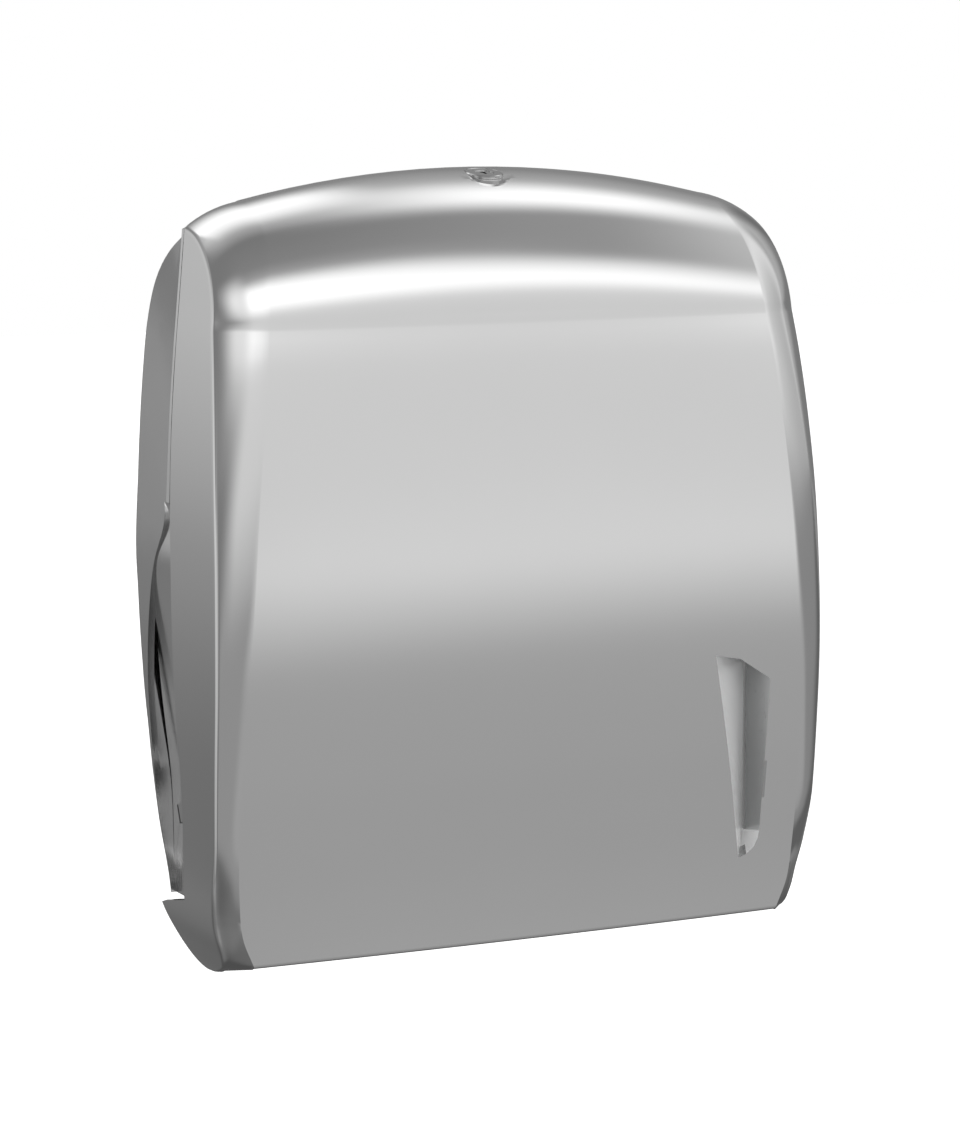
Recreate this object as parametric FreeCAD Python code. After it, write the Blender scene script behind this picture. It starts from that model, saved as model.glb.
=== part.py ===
import FreeCAD, Part
import math
import os
from FreeCAD import Rotation, Vector

os.makedirs("parts", exist_ok=True)

# Everything is drawn in millimetres from the middle of the face's bottom edge: x to the right, y to the
# wall, z up. save() moves it to the part's frame, whose origin is the middle of the wall screws on the wall.

# driving dimensions
DEPTH = 92.0            # face bottom edge to the wall
SEAM_Y = 54.0           # behind it the casing's sides taper to the wall
CASING_FRONT = 30.0     # foremost point of the casing
SCREW_MID = 170.0       # height of the middle of the wall screws
SCREW_PITCH = 180.0     # wall screws, square pattern
SCREW_HOLE = 5.5        # diameter
COVER_WALL = 2.4
CASING_WALL = 3.0
CASING_FOOT = 13.0
PART_GAP = 0.5          # cover edge to casing edge
HINGE_Y, HINGE_Z = 32.0, 36.0
CHEEK_R = 43.5          # the cheeks are rounded about the hinge
PIVOT_Y, PIVOT_Z = 52.0, 262.0   # centre of the rounded top front
PIN_R = 2.5
BUSH_R = 4.25
BOSS_R = 8.0
EAR_IN, EAR_OUT, EAR_R = 124.4, 127.0, 11.0
BOSS_END = 128.6        # inner face of the cover's bosses
SOCKET_END = 134.4      # bottom of the bush's socket in the boss
BUSH_FLANGE_R = 6.4
PIN_HEAD_R, PIN_HEAD_T = 4.2, 1.6
RUN = 0.05              # running clearance of a shaft, on the radius
SIDE_PLAY = 0.3         # between the ear and the bush
MAGAZINE_HALF = 121.2   # half the width left for the towels
GUIDE_T = 1.5
GUIDE_LOW, GUIDE_HIGH = 46.0, 276.0
GUIDE_FRONT = 16.0
GUIDE_FLANGE = 14.0     # width of the flange on the back wall
SLOT_R = 6.0            # half height of the guide's slots
SLOT_FROM, SLOT_TO = 32.0, 62.0
SLOT_HEIGHTS = (110.0, 165.0, 220.0)
PAD_T = 6.0             # pads for the inner parts, from the wall
BACK_PAD = DEPTH - PAD_T
WALL_PAD_R, WALL_PAD_T = 9.0, 5.0
TRAY_LOW = 15.0
TRAY_T = 2.5
TRAY_HALF = 120.2
TRAY_BACK_HIGH, TRAY_END_HIGH = 31.0, 28.0   # tops of the tray's back flange and ends
TRAY_NOTCH = (90.0, 45.0)   # corner left free on the right: from x, up to y
COLLAR_W, COLLAR_H = 3.0, 2.5   # rim round the outlet
LIP_R = 27.5            # outside of the tray's front lip, about the hinge
SLOT_HALF, SLOT_FRONT, SLOT_BACK = 82.0, 33.0, 63.0
LOCK_Y, LOCK_Z = 41.0, 321.6
LOCK_TILT = 9.0         # degrees, forward
LOCK_HEAD_R, LOCK_BODY_R, LOCK_BORE_R = 8.2, 6.5, 4.3
LOCK_HEAD_T, LOCK_LEN = 1.5, 17.3
LOCK_SEAT_R, LOCK_SEAT = 11.5, 7.5   # boss under the cover's top, and its lower face below the lock's
WASHER_R, WASHER_T = 10.0, 0.8
NUT_R, NUT_T = 9.8, 3.0              # across the corners
CAM_R, CAM_HALF, CAM_T, CAM_HUB_R = 15.5, 3.5, 2.0, 5.5
CAM_GAP = 0.3
SQUARE = 5.0                         # across the flats of the plug's end
SQUARE_PLAY = 0.02
CAM_WASHER_R = 4.0
CAM_SCREW_R, CAM_SCREW_LEN, CAM_SCREW_HEAD_R, CAM_SCREW_HEAD_T = 1.5, 7.6, 3.2, 2.0

# Barrel: half width of the sides at each height.
BARREL = ((-14, 130.3), (-6, 131.6), (2, 133.4), (12, 136.2), (25, 138.5), (40, 140.2), (60, 141.4), (80, 141.9),
          (100, 142.0), (130, 141.8), (160, 141.2), (190, 140.3), (220, 138.7), (250, 136.5), (275, 134.2), (300, 132.0))
# Casing sides below the place where they leave the barrel.
WAIST = ((13, 126.6), (28, 127.2), (41, 128.0), (51, 128.7), (60, 129.9), (71, 131.4), (85, 133.3), (100, 135.3),
         (115, 137.2), (130, 139.0), (148, 140.6))
# The same at the wall, where they end in the flange.
FLANGE_SIDES = ((13, 126.3), (28, 128.4), (41, 130.8), (51, 132.3), (60, 133.4), (71, 134.6), (85, 135.8),
                (100, 137.2), (115, 138.2), (130, 139.0), (148, 139.7))
# Face, from the bottom: height, crease x, crease y, slope of the flank beside it, crown in the middle.
FACE = ((-16, 117.5, 0.4, 0.80, 2.3), (0, 124.5, 1.0, 0.60, 2.4), (12, 128.7, 1.5, 0.45, 2.5),
        (28, 130.9, 0.9, 0.30, 2.5), (50, 131.7, -1.1, 0.20, 2.5), (80, 131.1, -4.0, 0.24, 2.5),
        (115, 129.4, -6.8, 0.29, 2.5), (150, 126.8, -7.8, 0.36, 2.5), (185, 124.1, -6.7, 0.41, 2.5),
        (220, 120.6, -4.2, 0.50, 2.7), (245, 117.6, -1.3, 0.56, 2.9))
# Round top front, about the pivot: angle, crease x, crease radius, slope of the flank, crown.
ROUND = ((0, 115.4, 50.0, 0.577, 3.2), (18, 113.5, 48.9, 0.52, 4.6), (36, 111.5, 48.6, 0.49, 6.4),
         (54, 109.2, 48.9, 0.47, 8.4), (72, 108.0, 49.0, 0.44, 10.4), (90, 107.2, 49.2, 0.42, 12.3))
# Rear edge of the cover seen from the side: y, z.
PARTING = ((41.0, 21.0), (38.8, 30), (37.4, 42), (36.8, 58), (38.3, 80), (41.9, 100), (45.4, 130), (47.8, 160),
           (49.8, 190), (51.0, 220), (51.2, 250), (51.2, 280))
TAB = ((69.0, 14.4), (59.5, 16.9), (49.5, 19.2))
# Window recess: corners on a plane in front of the face, and at its bottom, from the lower left clockwise.
RECESS_FRONT_Y, RECESS_BOTTOM_Y = -16.0, 12.0
RECESS_FRONT = ((92.0, 24.0), (77.0, 117.5), (93.5, 114.5), (116.0, 100.5), (114.6, 37.0), (106.0, 26.2))
RECESS_BOTTOM = ((111.2, 29.5), (111.0, 110.0), (111.7, 109.6), (112.9, 108.2), (112.9, 33.0), (112.1, 30.5))
PANE = (-4.4, 11.4, 38.0, 99.0)       # y and z limits of the pane
OPENING = (3.0, 9.4, 42.0, 95.0)      # y and z limits of the hole behind it
RETAINER_X = 117.4
WINDOW_SCREWS = ((6.4, 34.5), (6.4, 102.0))   # y, z
# Back outline of the casing: the last points of the sides, then the crease and the crest.
BACK_SIDES = ((160, 140.2), (190, 139.2), (220, 137.6), (245, 135.6), (256, 134.4), (267, 132.5), (277, 129.8),
              (285, 126.0), (291, 121.4), (296.2, 115.2), (300.0, 109.0))
BACK_DROP = 4.5         # the top falls by this much on its way to the wall, and by more at its corners
BACK_CORNER_DROP = 9.3
CREASE_TOP = (ROUND[-1][1], PIVOT_Z + ROUND[-1][2])
CREST = CREASE_TOP[1] + ROUND[-1][4]
BACK_CREASE = (CREASE_TOP[0] - 2.0, CREASE_TOP[1] - BACK_CORNER_DROP)
BACK_CREST = CREST - BACK_DROP
# Grip recess low on the casing's sides: height, x of its wall, y of the flange behind it.
GRIP = ((9, 124.4, 89.0), (25, 124.6, 89.0), (45, 125.2, 88.7), (65, 126.1, 88.4), (85, 128.6, 87.4), (105, 131.4, 85.6),
        (130, 135.3, 80.3), (150, 138.9, 73.0), (165, 140.3, 64.5), (190, 141.2, 58.0))
GRIP_WALL = 2.0
REAR_ROUND = 2.5
WALL_HOLES = [(sx * SCREW_PITCH / 2, SCREW_MID + sz * SCREW_PITCH / 2) for sx in (-1, 1) for sz in (-1, 1)]
SIDE_MAX = max(x for z, x in BARREL)
GUIDE_SCREW_X = MAGAZINE_HALF - 7.2
GUIDE_SCREWS = [(sx * GUIDE_SCREW_X, z) for sx in (-1, 1) for z in (95.0, 235.0)]
TRAY_SCREWS = [(x, 24.5) for x in (-70.0, 0.0, 70.0)]
CATCH_X0, CATCH_X1 = 11.0, 26.0
CATCH_MID = (CATCH_X0 + CATCH_X1) / 2
CATCH_TOP = LOCK_Z - 12.1
CATCH_SCREWS = [(CATCH_MID, CATCH_TOP - drop) for drop in (20.5, 9.5)]
CATCH_T, CATCH_LIP_T = 2.0, 1.8
CATCH_LIP_Y, CATCH_LIP_H, CATCH_LEG_H = LOCK_Y - 3.0, 11.5, 27.5
SHEET_SCREW_R, SHEET_SCREW_LEN, SHEET_SCREW_HEAD_R, SHEET_SCREW_HEAD_T = 1.75, 5.2, 3.6, 2.2
SHEET_PAD_R = 5.0
SCREW_PLAY = 0.1
WINDOW_SCREW_R, WINDOW_SCREW_LEN, WINDOW_SCREW_HEAD_R, WINDOW_SCREW_HEAD_T = 1.2, 3.6, 2.3, 1.4
RETAINER_T = 1.8
OPEN_ANGLE = 80.0
LUG_IN, LUG_OUT, LUG_T = 125.0, 137.0, 8.0
BUFFER_IN, BUFFER_OUT, BUFFER_T = 133.2, 136.8, 2.2
BUFFER_PLAY = 0.3


def box(x0, x1, y0, y1, z0, z1):
    return Part.makeBox(x1 - x0, y1 - y0, z1 - z0, Vector(x0, y0, z0))


def rod(radius, start, end):
    a, b = Vector(*start), Vector(*end)
    return Part.makeCylinder(radius, (b - a).Length, a, b - a)


def disc(radius, z0, z1):
    return rod(radius, (0, 0, z0), (0, 0, z1))


def tube(outer, inner, start, end):
    return rod(outer, start, end).cut(rod(inner, start, end))


def spline(points):
    curve = Part.BSplineCurve()
    curve.interpolate([Vector(*p) for p in points])
    return curve.toShape()


def line(a, b):
    return Part.makeLine(Vector(*a), Vector(*b))


def prism(edges, direction):
    return Part.Face(Part.Wire(edges)).extrude(Vector(*direction))


def mirrored(shape):
    return shape.mirror(Vector(0, 0, 0), Vector(1, 0, 0))


def both(shape):
    return shape.fuse(mirrored(shape))


def pair(shape):
    return Part.makeCompound([shape, mirrored(shape)])


def turned(shape, degrees):
    """About the hinge; a positive angle opens the cover."""
    out = shape.copy()
    out.rotate(Vector(0, HINGE_Y, HINGE_Z), Vector(1, 0, 0), degrees)
    return out


def save(name, shape):
    out = shape.copy()
    out.translate(Vector(0, -DEPTH, -SCREW_MID))
    out.exportStep("parts/%s.step" % name)
    print("%-18s solids %d  volume %.0f  valid %s" % (name, len(out.Solids), out.Volume, out.isValid()))


# ---- the shape that the cover and the casing share ----

def station(y, z, angle, crease_x, crease_w, slope, crown, inset):
    """Section outside the face: the crown, the two flanks and a boundary far out."""
    a = math.radians(angle)
    half = math.atan(slope) / 2

    def at(x, w):
        return Vector(x, y - w * math.cos(a), z + w * math.sin(a))

    x1, w1 = crease_x - inset * math.tan(half), crease_w - inset
    far_x, far_w = 165.0, w1 - slope * (165.0 - x1)
    out = w1 + 60.0
    left, right = at(-x1, w1), at(x1, w1)
    crown_arc = Part.Arc(left, at(0, w1 + crown), right).toShape()
    edges = [Part.makeLine(at(-far_x, far_w), left), crown_arc, Part.makeLine(right, at(far_x, far_w)),
             Part.makeLine(at(far_x, far_w), at(far_x, out)), Part.makeLine(at(far_x, out), at(-far_x, out)),
             Part.makeLine(at(-far_x, out), at(-far_x, far_w))]
    return Part.Wire(edges)


def outside_face(inset):
    wires = [station(PIVOT_Y, z, 0, x, PIVOT_Y - y, slope, crown, inset) for z, x, y, slope, crown in FACE]
    wires += [station(PIVOT_Y, PIVOT_Z, angle, x, w, slope, crown, inset) for angle, x, w, slope, crown in ROUND]
    return Part.makeLoft(wires, True, False)


def barrel(inset, low, y0, y1):
    """Block with barrel sides, open ended above the arch."""
    side = [(x - inset, y0, z) for z, x in BARREL]
    top = (side[-1][0] - 2.8, y0, 335.0)
    right = spline(side)
    left = mirrored(right)
    edges = [right, line(side[-1], top), line(top, (-top[0], y0, top[2])),
             line((-top[0], y0, top[2]), (-side[-1][0], y0, side[-1][2])), left,
             line((-side[0][0], y0, side[0][2]), side[0])]
    block = prism(edges, (0, y1 - y0, 0))
    return block.common(box(-200, 200, y0, y1, low, 340))


def corner_plane(inset):
    """Solid outside the facet at the face's lower right corner."""
    p1, p2, p3 = Vector(131.0, 1.9, 22.0), Vector(124.5, 0.5, 0.0), Vector(131.0, 17.0, -6.0)
    normal = (p3 - p1).cross(p2 - p1)
    normal.normalize()
    if normal.x < 0:
        normal = normal * -1
    slab = Part.makeBox(120, 120, 30, Vector(-60, -60, 0))
    slab.Placement = FreeCAD.Placement(p1 - normal * inset, Rotation(Vector(0, 0, 1), normal))
    return slab


def cover_form(inset):
    """Solid bounded by the face, the flanks and the sides, moved inwards by inset."""
    form = barrel(inset, -12.0, -20.0, 75.0).cut(outside_face(inset))
    corner = corner_plane(inset)
    return form.cut(corner).cut(mirrored(corner))


def parting_edges(x, shift):
    """Rear edge of the cover, from the tab up to the top, on the plane x."""
    points = [(x, y + shift, z) for y, z in PARTING]
    return [spline(points), line(points[-1], (x, points[-1][1], 345.0))], points


def side_region():
    """Region of the cover seen from the side: in front of the parting line, with the round cheeks."""
    x = -160.0
    rear, points = parting_edges(x, 0.0)
    foot_y = TAB[0][0]
    foot_z = HINGE_Z - math.sqrt(CHEEK_R ** 2 - (foot_y - HINGE_Y) ** 2)
    front_y = 0.8
    front_z = HINGE_Z - math.sqrt(CHEEK_R ** 2 - (front_y - HINGE_Y) ** 2)
    arc = Part.Arc(Vector(x, front_y, front_z), Vector(x, HINGE_Y, HINGE_Z - CHEEK_R),
                   Vector(x, foot_y, foot_z)).toShape()
    tab = [(x, y, z) for y, z in TAB]
    corner = (x, foot_y + 0.4, tab[0][2] - 0.2)
    edges = rear + [line((x, points[-1][1], 345.0), (x, -60.0, 345.0)), line((x, -60.0, 345.0), (x, -60.0, front_z)),
                    line((x, -60.0, front_z), (x, front_y, front_z)), arc, line((x, foot_y, foot_z), tab[0]),
                    line(tab[0], tab[1]), line(tab[1], tab[2]), line(tab[2], points[0])]
    region = prism(Part.sortEdges(edges)[0], (320.0, 0, 0))
    return region.fuse(box(-124.5, 124.5, -60, 12, 0.0, 20.0))


def recess_block(grow, back):
    """Window recess as a solid, grown sideways by grow and deepened by back."""
    def ring(points, y):
        cx = sum(p[0] for p in points) / len(points)
        cz = sum(p[1] for p in points) / len(points)
        out = []
        for px, pz in points:
            sx = 1 if px > cx else -1
            sz = 1 if pz > cz else -1
            out.append(Vector(px + sx * grow, y, pz + sz * grow))
        return Part.makePolygon(out + [out[0]])

    return Part.makeLoft([ring(RECESS_FRONT, RECESS_FRONT_Y), ring(RECESS_BOTTOM, RECESS_BOTTOM_Y + back)], True, True)


def lock_placed(shape):
    """Moves a shape drawn round the z axis, face at z = 0, to the lock."""
    out = shape.copy()
    out.rotate(Vector(0, 0, 0), Vector(1, 0, 0), LOCK_TILT)
    out.translate(Vector(0, LOCK_Y, LOCK_Z))
    return out


# ---- cover ----

def recess_wall_x(y):
    """x of the recess's right wall, half way up, at depth y."""
    t = (y - RECESS_FRONT_Y) / (RECESS_BOTTOM_Y - RECESS_FRONT_Y)
    front = (RECESS_FRONT[3][0] + RECESS_FRONT[4][0]) / 2
    bottom = (RECESS_BOTTOM[3][0] + RECESS_BOTTOM[4][0]) / 2
    return front + t * (bottom - front)


def zone(x0, x1, limits, clear):
    """Box between x0 and x1 over y and z limits, each moved in by clear."""
    y0, y1, z0, z1 = limits
    return box(x0, x1, y0 + clear, y1 - clear, z0 + clear, z1 - clear)


def window_bed(clear):
    """Layer of the recess's right wall that the pane lies in."""
    layer = recess_block(1.4 - clear, 0.0).cut(recess_block(0.0, 0.0))
    return layer.common(zone(112.0, 124.0, PANE, clear))


def cover():
    outer, inner = cover_form(0.0), cover_form(COVER_WALL)
    shell = outer.cut(inner).fuse(recess_block(COVER_WALL, COVER_WALL).common(outer))
    flange = box(-121.0, 121.0, -1.0, 6.5, 0.0, COVER_WALL).common(outer)
    bosses = both(rod(BOSS_R, (BOSS_END, HINGE_Y, HINGE_Z), (SIDE_MAX, HINGE_Y, HINGE_Z)).common(outer))
    seat = lock_placed(disc(LOCK_SEAT_R, -LOCK_SEAT, -LOCK_HEAD_T)).common(outer)
    pads = [rod(3.4, (recess_wall_x(y) + 0.5, y, z), (RETAINER_X, y, z)) for y, z in WINDOW_SCREWS]
    shell = shell.fuse([flange, bosses, seat] + pads).common(side_region())
    shell = shell.cut(recess_block(0.0, 0.0)).cut(window_bed(0.0)).cut(zone(110.0, 119.0, OPENING, 0.0))
    for y, z in WINDOW_SCREWS:
        shell = shell.cut(rod(WINDOW_SCREW_R, (RETAINER_X - 2.2, y, z), (RETAINER_X + 1.6, y, z)))
    shell = shell.cut(both(rod(BUSH_R, (BOSS_END - 1, HINGE_Y, HINGE_Z), (SOCKET_END, HINGE_Y, HINGE_Z))))
    body_hole = disc(LOCK_BODY_R + RUN, -2 * LOCK_LEN, 5.0)
    head_hole = disc(LOCK_HEAD_R + RUN, -LOCK_HEAD_T, 8.0)
    return shell.cut(lock_placed(body_hole.fuse(head_hole))).removeSplitter()


def level_window():
    """Smoked pane in the right wall of the recess, with a neck through the wall."""
    neck = zone(recess_wall_x(OPENING[1]) + 0.9, RETAINER_X + RETAINER_T, OPENING, SCREW_PLAY)
    return window_bed(SCREW_PLAY).common(cover_form(0.0)).fuse(neck).removeSplitter()


def window_retainer():
    """Plate behind the wall that holds the neck."""
    y0, y1, z0, z1 = OPENING
    plate = box(RETAINER_X, RETAINER_X + RETAINER_T, y0 - 1.1, y1 + 1.6, z0 - 1.2, z1 + 1.2)
    ends = box(RETAINER_X, RETAINER_X + RETAINER_T, y0 + 0.6, y1 + 0.2, WINDOW_SCREWS[0][1] - 4, WINDOW_SCREWS[1][1] + 4)
    plate = plate.fuse(ends).cut(zone(110.0, 130.0, OPENING, SCREW_PLAY / 2))
    for y, z in WINDOW_SCREWS:
        plate = plate.cut(rod(WINDOW_SCREW_R + SCREW_PLAY, (110, y, z), (130, y, z)))
    return plate.removeSplitter()


def pan_screw(x, y, z, head_r, shank_r, length, head_t, axis):
    """Screw whose head sits at the point and whose shank runs along the axis."""
    a = Vector(*axis)
    seat = Vector(x, y, z)
    head = Part.makeCylinder(head_r, head_t, seat - a * head_t, a)
    top = seat - a * head_t
    rim = [e for e in head.Edges if abs((e.CenterOfMass - top).Length) < 1e-6 and e.Curve.TypeId == "Part::GeomCircle"]
    head = head.makeFillet(head_t * 0.45, rim[:1])
    cross = Part.makeBox(head_r * 1.1, head_t * 0.5, head_r * 0.28)
    cross.translate(Vector(-head_r * 0.55, 0, -head_r * 0.14))
    slot = cross.fuse(cross.rotated(Vector(0, 0, 0), Vector(0, 1, 0), 90))
    slot.Placement = FreeCAD.Placement(top, Rotation(Vector(0, 1, 0), a))
    return head.cut(slot).fuse(Part.makeCylinder(shank_r, length, seat, a))


def window_screws():
    return Part.makeCompound([pan_screw(RETAINER_X + RETAINER_T, y, z, WINDOW_SCREW_HEAD_R, WINDOW_SCREW_R,
                                        WINDOW_SCREW_LEN, WINDOW_SCREW_HEAD_T, (-1, 0, 0)) for y, z in WINDOW_SCREWS])


def hinge_bush():
    body = rod(BUSH_R, (BOSS_END, HINGE_Y, HINGE_Z), (SOCKET_END - 0.1, HINGE_Y, HINGE_Z))
    flange = rod(BUSH_FLANGE_R, (EAR_OUT + SIDE_PLAY, HINGE_Y, HINGE_Z), (BOSS_END, HINGE_Y, HINGE_Z))
    return body.fuse(flange).cut(rod(PIN_R + RUN, (EAR_OUT - 5, HINGE_Y, HINGE_Z), (SIDE_MAX, HINGE_Y, HINGE_Z)))


# ---- lock, drawn round the z axis with its face at z = 0 ----

def lock_barrel():
    head = disc(LOCK_HEAD_R, -LOCK_HEAD_T, 0.0)
    head = head.makeChamfer(0.4, [e for e in head.Edges if e.CenterOfMass.z > -0.1 and len(e.Vertexes) == 1])
    body = disc(LOCK_BODY_R, -LOCK_LEN, -LOCK_HEAD_T)
    return lock_placed(head.fuse(body).cut(disc(LOCK_BORE_R, -2 * LOCK_LEN, 5.0)))


def lock_washer():
    low = -LOCK_SEAT - WASHER_T
    ring = disc(WASHER_R, low, -LOCK_SEAT)
    return lock_placed(ring.cut(disc(LOCK_BODY_R + SCREW_PLAY, low - 1, 0.0)))


def lock_nut():
    low = -LOCK_SEAT - WASHER_T - NUT_T
    corners = [Vector(NUT_R * math.cos(math.radians(60 * i)), NUT_R * math.sin(math.radians(60 * i)), low)
               for i in range(7)]
    block = Part.Face(Part.makePolygon(corners)).extrude(Vector(0, 0, NUT_T))
    return lock_placed(block.cut(disc(LOCK_BODY_R, low - 1, 0.0)))


CAM_TOP = -LOCK_LEN - CAM_GAP
CAM_LOW = CAM_TOP - CAM_T


def square_end(clear, z0, z1):
    half = SQUARE / 2 + clear
    return box(-half, half, -half, half, z0, z1)


def lock_plug():
    body = disc(LOCK_BORE_R - RUN, CAM_TOP, -0.3)
    keyway = box(-0.55, 0.55, -2.5, 2.5, -8.0, 1.0).fuse(rod(1.3, (0, 1.2, -8.0), (0, 1.2, 1.0)))
    hole = disc(CAM_SCREW_R, CAM_LOW - 1.0, CAM_LOW + CAM_SCREW_LEN)
    return lock_placed(body.fuse(square_end(0.0, CAM_LOW + 0.2, CAM_TOP)).cut(keyway).cut(hole))


def lock_cam():
    """Points to the wall when the lock is open."""
    tongue = box(-CAM_HALF, CAM_HALF, 0.0, CAM_R, CAM_LOW, CAM_TOP).common(disc(CAM_R, CAM_LOW, CAM_TOP))
    blank = disc(CAM_HUB_R, CAM_LOW, CAM_TOP).fuse(tongue)
    return lock_placed(blank.cut(square_end(SQUARE_PLAY, CAM_LOW - 1, CAM_TOP + 1)).removeSplitter())


def cam_washer():
    ring = disc(CAM_WASHER_R, CAM_LOW - WASHER_T, CAM_LOW)
    return lock_placed(ring.cut(disc(CAM_SCREW_R + SCREW_PLAY, CAM_LOW - 5, CAM_LOW + 1)))


def cam_screw():
    return lock_placed(pan_screw(0, 0, CAM_LOW - WASHER_T, CAM_SCREW_HEAD_R, CAM_SCREW_R, CAM_SCREW_LEN,
                                 CAM_SCREW_HEAD_T, (0, 0, 1)))


# ---- casing ----

def outline(side, crease, crest, y, inset, low):
    """Closed outline of the casing in the plane y, moved inwards by inset."""
    points = [(x - inset, y, z) for z, x in side]
    tail = points[-1]
    corner = (tail[0], y, tail[2] - 0.8 * inset)
    points[-1] = corner
    right = spline(points)
    c = (crease[0] - 0.25 * inset, y, crease[1] - inset)
    foot = points[0]
    arch = Part.Arc(Vector(*c), Vector(0, y, crest - inset), Vector(-c[0], y, c[2])).toShape()
    edges = [right, line(corner, c), arch, line((-c[0], y, c[2]), (-corner[0], y, corner[2])), mirrored(right)]
    if low < foot[2]:
        edges += [line((-foot[0], y, foot[2]), (-foot[0], y, low)), line((-foot[0], y, low), (foot[0], y, low)),
                  line((foot[0], y, low), foot)]
    else:
        edges += [line((-foot[0], y, foot[2]), foot)]
    return Part.Wire(Part.sortEdges(edges)[0])


FRONT_SIDES = WAIST + tuple(p for p in BARREL if p[0] >= 160)
REAR_SIDES = FLANGE_SIDES + BACK_SIDES


def front_outline(y, inset, low=CASING_FOOT):
    return outline(FRONT_SIDES, CREASE_TOP, CREST, y, inset, low)


def casing_form(inset, back, low):
    front = Part.Face(front_outline(CASING_FRONT, inset, low)).extrude(Vector(0, SEAM_Y - CASING_FRONT, 0))
    rear = Part.makeLoft([front_outline(SEAM_Y, inset, low),
                          outline(REAR_SIDES, BACK_CREASE, BACK_CREST, back, inset, low)], True, True)
    return front.fuse(rear)


def casing_region():
    """Region of the casing seen from the side: behind the cover's rear edge, and under it low down."""
    x = -160.0
    upper = [(x, y + PART_GAP, z) for y, z in PARTING if z >= 130]
    behind = DEPTH + 3.0
    outline_points = [upper[-1], (x, upper[-1][1], 345.0), (x, behind, 345.0), (x, behind, 0.0), (x, 42.0, 0.0),
                      (x, 42.0, 52.0), (x, 37.0, 62.0), (x, 35.5, 122.0), upper[0]]
    edges = [spline(upper)] + [line(a, b) for a, b in zip(outline_points, outline_points[1:])]
    return prism(Part.sortEdges(edges)[0], (320.0, 0, 0))


def rim():
    """Collar inside the casing's front edge that the cover laps over."""
    lip = Part.Face(front_outline(48.2, 3.5, 150.0)).extrude(Vector(0, 9, 0))
    collar = Part.Face(front_outline(52.6, 2.6, 150.0)).extrude(Vector(0, 5, 0))
    ring = lip.fuse(collar).cut(Part.Face(front_outline(40.0, 5.1, 140.0)).extrude(Vector(0, 30, 0)))
    ring = ring.cut(box(-13, 13, 40, 52.0, 300, 330))
    return ring.common(box(-160, 160, 40, 60, 152, 340))


def grip_block(deeper):
    """Right grip recess as a solid, with its side wall moved inwards."""
    def ring(z, x, y):
        corners = [Vector(x - deeper, CASING_FRONT, z), Vector(160, CASING_FRONT, z), Vector(160, y, z),
                   Vector(x - deeper, y, z)]
        return Part.makePolygon(corners + corners[:1])

    return Part.makeLoft([ring(z, x, y) for z, x, y in GRIP], True, False)


def stop_block(x0, x1, low, high):
    """Block that meets the right tab's top edge when the cover is open."""
    (y1, z1), (y0, z0) = TAB[1], TAB[2]
    tilt = math.degrees(math.atan2(z1 - z0, y1 - y0))
    block = box(x0, x1, 1.0, 9.0, low, high)
    block.rotate(Vector(0, 0, 0), Vector(1, 0, 0), tilt)
    block.translate(Vector(0, y0, z0))
    return turned(block, OPEN_ANGLE)


def rear_casing():
    solid = casing_form(0.0, DEPTH, CASING_FOOT)
    rear_edges = [e for e in solid.Edges if e.BoundBox.YMin > DEPTH - 0.01 and e.CenterOfMass.z > CASING_FOOT + 1]
    solid = solid.makeFillet(REAR_ROUND, rear_edges)
    shell = solid.cut(casing_form(CASING_WALL, DEPTH - CASING_WALL, -5.0))
    liner = grip_block(GRIP_WALL).common(solid).common(box(100, 160, CASING_FRONT, DEPTH, CASING_FOOT, 190))
    shell = shell.fuse(both(liner)).cut(both(grip_block(0.0))).common(casing_region())
    ear = box(EAR_IN, EAR_OUT, HINGE_Y, HINGE_Y + 28.0, HINGE_Z - 10.0, HINGE_Z + 10.0)
    ear = ear.fuse(rod(EAR_R, (EAR_IN, HINGE_Y, HINGE_Z), (EAR_OUT, HINGE_Y, HINGE_Z)))
    lugs = both(stop_block(LUG_IN, LUG_OUT, BUFFER_T, LUG_T))
    inner = DEPTH - CASING_WALL + 1.0
    pads = [rod(WALL_PAD_R, (x, DEPTH - WALL_PAD_T, z), (x, inner, z)) for x, z in WALL_HOLES]
    sheet = GUIDE_SCREWS + TRAY_SCREWS + CATCH_SCREWS
    pads += [rod(SHEET_PAD_R, (x, BACK_PAD, z), (x, inner, z)) for x, z in sheet]
    shell = shell.fuse([both(ear), rim(), lugs] + pads)
    for x, z in WALL_HOLES:
        shell = shell.cut(rod(SCREW_HOLE / 2, (x, BACK_PAD - 6, z), (x, DEPTH + 3, z)))
    for x, z in sheet:
        shell = shell.cut(rod(SHEET_SCREW_R, (x, BACK_PAD - 6, z), (x, BACK_PAD + 4.6, z)))
    shell = shell.cut(both(rod(PIN_R, (EAR_IN - 10, HINGE_Y, HINGE_Z), (EAR_OUT + 3, HINGE_Y, HINGE_Z))))
    return shell.removeSplitter()


def hinge_pin():
    head = rod(PIN_HEAD_R, (EAR_IN - PIN_HEAD_T, HINGE_Y, HINGE_Z), (EAR_IN, HINGE_Y, HINGE_Z))
    return head.fuse(rod(PIN_R, (EAR_IN - 1.0, HINGE_Y, HINGE_Z), (SOCKET_END - 0.4, HINGE_Y, HINGE_Z)))


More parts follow.
